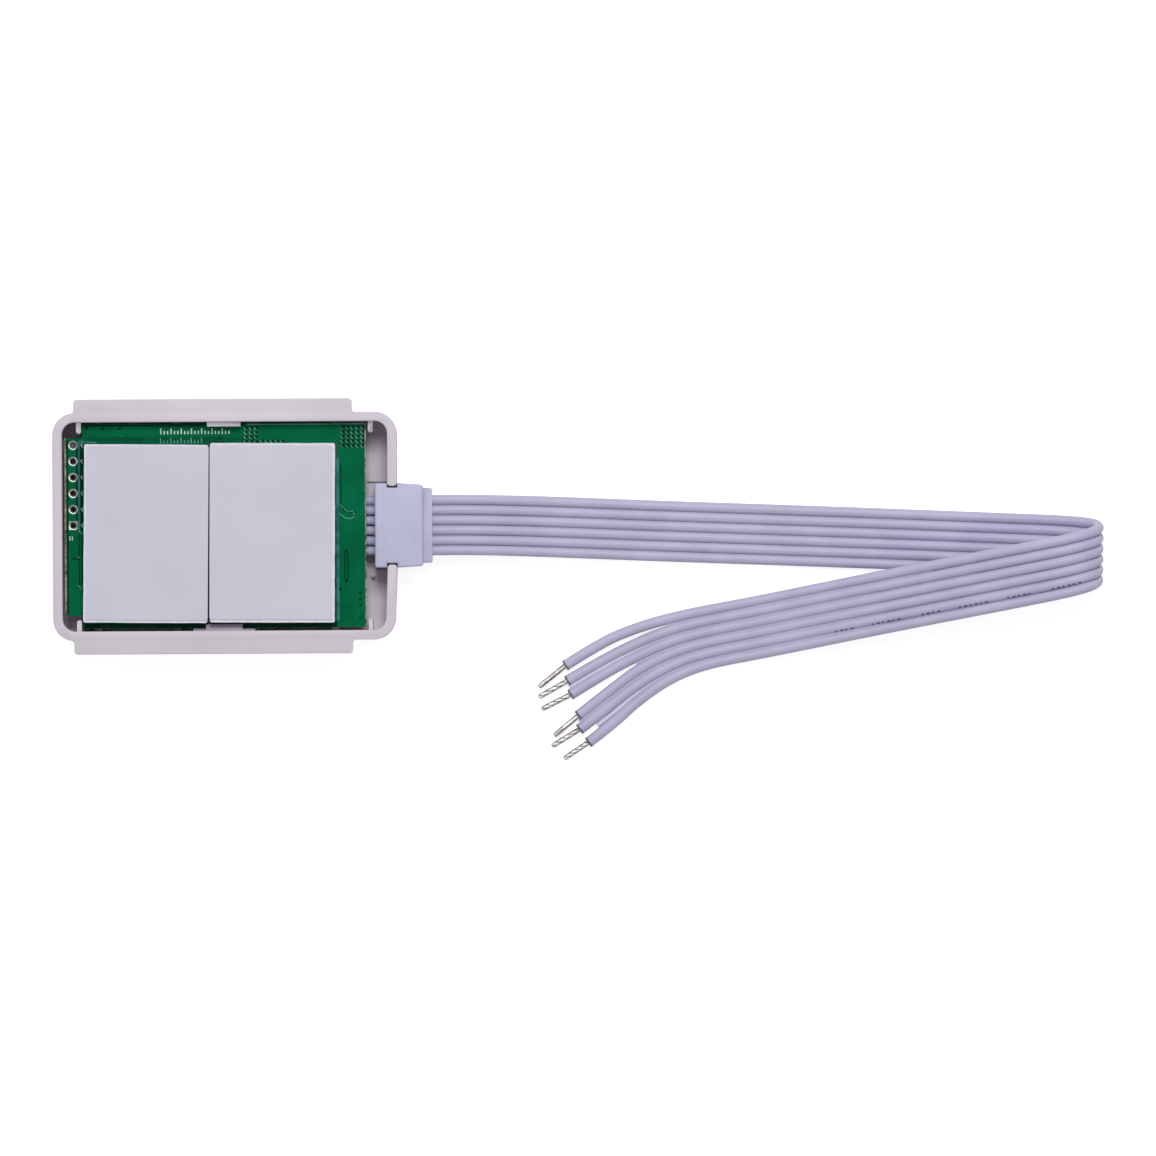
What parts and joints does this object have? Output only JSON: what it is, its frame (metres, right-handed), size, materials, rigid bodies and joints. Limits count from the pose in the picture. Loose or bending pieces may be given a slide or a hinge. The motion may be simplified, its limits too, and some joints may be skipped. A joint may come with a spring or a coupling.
{
  "type": "mirror touch switch",
  "caption": "Capacitive touch switch for a mirror: open moulded tray with a circuit board, foam mounting pads under release liners, and a folded ribbon lead with bare tinned ends.",
  "frame": {"origin": "middle of the tray's flat back face, which lies on the surface", "axes": "+X along the tray to the cable exit, +Y to the upper long side of the picture, +Z out of the open front towards the mirror"},
  "size_m": [0.1665, 0.0583, 0.0115],
  "materials": {
    "tray_plastic": "matte",
    "board_laminate": "gloss",
    "foam": "matte",
    "liner_paper": "satin",
    "relief_plastic": "satin",
    "wire_jacket": "satin",
    "tinned_metal": "satin",
    "package_black": "matte",
    "chip_ceramic": "satin",
    "resistor_ceramic": "satin"
  },
  "bodies": {
    "switch": {"housing_tray": "tray_plastic", "circuit_board": "board_laminate", "foam_pad_left": "foam", "foam_pad_right": "foam", "strain_relief": "relief_plastic", "touch_controller": "package_black", "touch_controller_pins": "tinned_metal", "voltage_regulator": "package_black", "voltage_regulator_leads": "tinned_metal", "input_diode": "package_black", "input_diode_leads": "tinned_metal", "power_transistor_1": "package_black", "power_transistor_1_frame": "tinned_metal", "power_transistor_2": "package_black", "power_transistor_2_frame": "tinned_metal", "chip_end_caps": "tinned_metal", "input_capacitor": "chip_ceramic", "output_capacitor": "chip_ceramic", "sensor_capacitor_left": "chip_ceramic", "sensor_capacitor_right": "chip_ceramic", "gate_resistor_1": "resistor_ceramic", "gate_resistor_2": "resistor_ceramic", "pull_up_resistor_1": "resistor_ceramic", "pull_up_resistor_2": "resistor_ceramic", "wire_1": "wire_jacket", "inner_lead_1": "wire_jacket", "tinned_end_1": "tinned_metal", "solder_joint_1": "tinned_metal", "wire_2": "wire_jacket", "inner_lead_2": "wire_jacket", "tinned_end_2": "tinned_metal", "solder_joint_2": "tinned_metal", "wire_3": "wire_jacket", "inner_lead_3": "wire_jacket", "tinned_end_3": "tinned_metal", "solder_joint_3": "tinned_metal", "wire_4": "wire_jacket", "inner_lead_4": "wire_jacket", "tinned_end_4": "tinned_metal", "solder_joint_4": "tinned_metal", "wire_5": "wire_jacket", "inner_lead_5": "wire_jacket", "tinned_end_5": "tinned_metal", "solder_joint_5": "tinned_metal", "wire_6": "wire_jacket", "inner_lead_6": "wire_jacket", "tinned_end_6": "tinned_metal", "solder_joint_6": "tinned_metal"},
    "left_release_liner": {"liner_left": "liner_paper"},
    "right_release_liner": {"liner_right": "liner_paper"}
  },
  "joints": [
    {"name": "left_liner_lift", "type": "slide", "parent": "switch", "child": "left_release_liner", "axis": [0, 0, 1], "range_m": [0, 0.02]},
    {"name": "right_liner_lift", "type": "slide", "parent": "switch", "child": "right_release_liner", "axis": [0, 0, 1], "range_m": [0, 0.02]}
  ]
}
